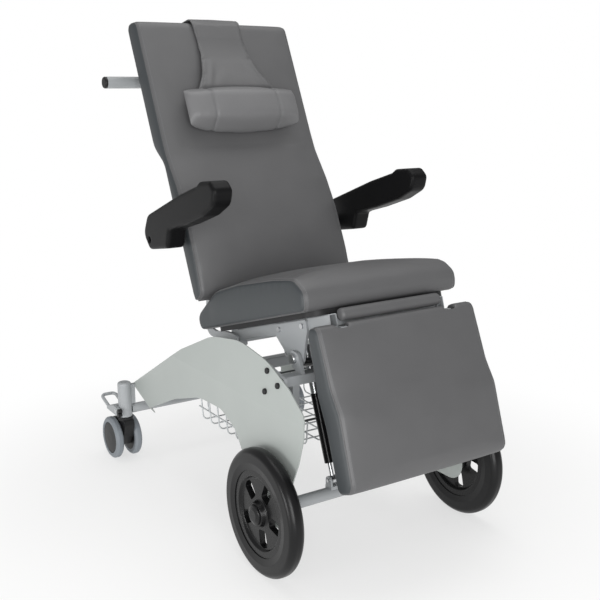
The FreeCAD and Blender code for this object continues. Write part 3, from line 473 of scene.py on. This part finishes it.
def cushion(node, body, edge, voxel, cap, held):
    """A cushion with a swollen face, side panels set off by a welt and painted darker as shade, and
    a row of stitches.
    """
    piece = merged_copy(node + "_cover", cad[node])
    stuffed(piece, voxel, cap, CUSHION_PRESSURE, held)
    sunk(piece, SEAM_DEPTH, SEAM_WIDTH, lambda place: off_seam(place, edge))
    # Painted shade: the side panels are marked to take a darker, bluer grey.
    paint_side_shade(piece, edge)
    hung(piece, body, "upholstery", vinyl, node)
    for side, sign in SIDES:
        line = section(piece, sign * edge)
        hung(welt("%s_welt_%s" % (node, side), line, WELT_RADIUS), body, "upholstery", vinyl)
        line = section(piece, sign * (edge - STITCH_INSET))
        hung(stitches("%s_stitches_%s" % (node, side), line), body, "upholstery", thread)


cushion("seat_cushion", "seat", SEAT_EDGE, 0.006, 0.006, on_seat_board)
cushion("back_cushion", "back", BACK_EDGE, 0.0070, 0.006, on_back_board)
cushion("leg_cushion", "leg", LEG_EDGE, 0.006, 0.005, on_leg_board)

# Head pillow and flap

PILLOW_SEAM = 0.100
PILLOW_END = 0.168
PILLOW_ROWS = (("inner", -0.004), ("outer", 0.004))


def on_pillow_rear(place):
    """Whether a place lies on the pillow's rear, which curves forward at its ends."""
    rear = -0.0125 - 0.0335 * (abs(place.x) / 0.172) ** 3.5
    return (BACK.inverted() @ place).y > rear - 0.003


def pillow_held(place):
    """Where the pillow's cover keeps still: at its rear, its ends and its seams."""
    at_end = abs(place.x) > PILLOW_END
    return on_pillow_rear(place) or at_end or off_seam(place, PILLOW_SEAM) < 0.003


def pillow():
    """A lens-shaped pillow with an end panel on each side, sewn with two rows of stitches."""
    piece = merged_copy("head_pillow_cover", cad["head_pillow"])
    stuffed(piece, 0.005, 0.012, 8.0, pillow_held)
    front = piece.vertex_groups.new(name="front")
    free = [vertex.index for vertex in piece.data.vertices if not on_pillow_rear(vertex.co)]
    front.add(free, 1.0, "REPLACE")
    applied(piece, "SMOOTH", factor=0.5, iterations=60, vertex_group="front")
    piece.vertex_groups.clear()
    sunk(piece, 0.0022, 0.004, lambda place: off_seam(place, PILLOW_SEAM))
    hung(piece, "pillow", "upholstery", pillow_vinyl, "head_pillow")
    for side, sign in SIDES:
        for row, offset in PILLOW_ROWS:
            line = section(piece, sign * (PILLOW_SEAM + offset))
            name = "pillow_stitches_%s_%s" % (row, side)
            hung(stitches(name, line), "pillow", "upholstery", thread)


pillow()

FLAP_BEND = 0.650
FLAP_HEM = 0.007
LOOSE_BELOW = 0.72


def flap_half(place):
    """Half the flap's width at a place: narrow above, flared where it meets the pillow."""
    up = (BACK.inverted() @ place).z
    return 0.077 + 0.053 * clamped((0.690 - up) / 0.134)


def stiff_bend(rise):
    """How far forward the solid's bent sheet lies, at a height above its bend."""
    spread = [hypot(rise + 0.0029 * step, 0.003) for step in range(-4, 5)]
    return -0.010 + 0.2415 * rise - 0.1955 * sum(spread) / len(spread)


def draped(piece):
    """Lets the flap hang in a curve: concave edges, a soft bend, its foot on the pillow."""
    for vertex in piece.data.vertices:
        local = BACK.inverted() @ vertex.co
        up = local.z
        behind = local.y > 0.03
        if behind or up > LOOSE_BELOW:
            continue
        flare = 0.076 + 0.054 * (max(0.70 - up, 0) / 0.144) ** 2.2
        local.x *= flare / flap_half(vertex.co)
        sag = -0.0068 - 0.0412 * ((LOOSE_BELOW - up) / 0.157) ** 2
        local.y += sag - stiff_bend(up - FLAP_BEND)
        foot = clamped((0.66 - up) / 0.09)
        local.z -= 0.014 * foot ** 2
        local.y += 0.008 * foot ** 4
        vertex.co = BACK @ local


def pulled(piece):
    """Slanting creases where the flap is drawn in from the pillow's width to its own."""
    shifts = []
    for vertex in piece.data.vertices:
        local = BACK.inverted() @ vertex.co
        near = max(0, 1 - abs(local.z - 0.610) / 0.06) * min(1, abs(local.x) / 0.06)
        bent = 0.012 * sin(local.x / 0.021 + 1.3)
        crease = sin((0.85 * abs(local.x) + 0.5 * local.z + bent) / 0.0062)
        shifts.append(vertex.normal * (0.0009 * near * crease))
    for vertex, shift in zip(piece.data.vertices, shifts):
        vertex.co += shift


def flap():
    """The padded flap that holds the pillow, sewn flat along its edges."""
    piece = merged_copy("headrest_flap_cover", cad["headrest_flap"])
    stuffed(piece, 0.0034, 0.004, 3.0, lambda place: False)
    sunk(piece, 0.0009, 0.002, lambda place: off_seam(place, flap_half(place) - FLAP_HEM))
    pulled(piece)
    draped(piece)
    hung(piece, "back", "upholstery", vinyl, "headrest_flap")
    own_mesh(piece)


flap()


ROLL_END = 0.138


def knee_roll():
    """The padded roll under the seat's front edge."""
    piece = merged_copy("knee_roll_cover", cad["knee_roll"])
    stuffed(piece, 0.004, 0.003, 2.0, lambda place: abs(place.x) > ROLL_END)
    hung(piece, "seat", "upholstery", vinyl, "knee_roll")


knee_roll()


def armrest(side):
    """A moulded armrest with soft edges."""
    node = "armrest_" + side
    piece = merged_copy(node + "_skin", cad[node])
    piece.data.remesh_voxel_size = 0.003
    bpy.ops.object.voxel_remesh()
    applied(piece, "SMOOTH", factor=0.5, iterations=6)
    alone(piece)
    bpy.ops.object.shade_smooth()
    hung(piece, "arm_" + side, "arm_foam", FINISHES["arm_foam"], node)


for hand, _ in SIDES:
    armrest(hand)

# Studio: floor, white surroundings and soft lamps

FADE_START = 0.5
FADE_END = 1.3
FADE_LEAST = 0.6
AMBIENT = 0.42


def floor():
    """A pale floor that takes the chair's shadow and fades to white round it."""
    bpy.ops.object.select_all(action="DESELECT")
    bpy.ops.mesh.primitive_plane_add(size=30)
    sheet = bpy.context.object
    sheet.name = "floor"
    material, tree, shader, place = surface("pale_floor", Roughness=0.7)
    shader.inputs["Base Color"].default_value = linear("#f4f4f3")
    reach = add(tree, "VectorMath", {0: place}, operation="LENGTH")
    fade = add(tree, "MapRange",
               {0: reach.outputs["Value"], 1: FADE_START, 2: FADE_END, 3: FADE_LEAST},
               interpolation_type="SMOOTHSTEP")
    white = add(tree, "Emission", {"Color": (1, 1, 1, 1), "Strength": 1.0})
    mix = add(tree, "MixShader", {0: fade.outputs[0], 1: shader.outputs[0], 2: white.outputs[0]})
    tree.links.new(mix.outputs[0], tree.nodes["Material Output"].inputs["Surface"])
    sheet.data.materials.append(material)


def surroundings():
    """White for the camera, and an even dim light for the chair and its reflections."""
    world = bpy.data.worlds.new("studio")
    scene.world = world
    world.use_nodes = True
    tree = world.node_tree
    seen = add(tree, "LightPath")
    strength = add(tree, "MapRange", {0: seen.outputs["Is Camera Ray"], 3: AMBIENT, 4: 1.0})
    tree.links.new(strength.outputs[0], tree.nodes["Background"].inputs["Strength"])
    tree.nodes["Background"].inputs["Color"].default_value = (1, 1, 1, 1)


def lamp(name, place, target, width, power):
    """A square soft box that faces a point of the chair."""
    box = bpy.data.lights.new(name, "AREA")
    box.size = width
    box.energy = power
    lamp_object = bpy.data.objects.new(name, box)
    lamp_object.location = place
    aim = Vector(target) - Vector(place)
    lamp_object.rotation_euler = aim.to_track_quat("-Z", "Y").to_euler()
    scene.collection.objects.link(lamp_object)


floor()
surroundings()
lamp("key_box", (-1.5, -3.0, 1.1), (0, 0, 0.6), 1.8, 75)
lamp("side_box", (-3.0, -0.6, 0.5), (0, 0, 0.4), 1.0, 32)
lamp("top_box", (0.3, 0.2, 3.2), (0, 0, 0.6), 2.4, 38)

scene.view_settings.view_transform = "Standard"
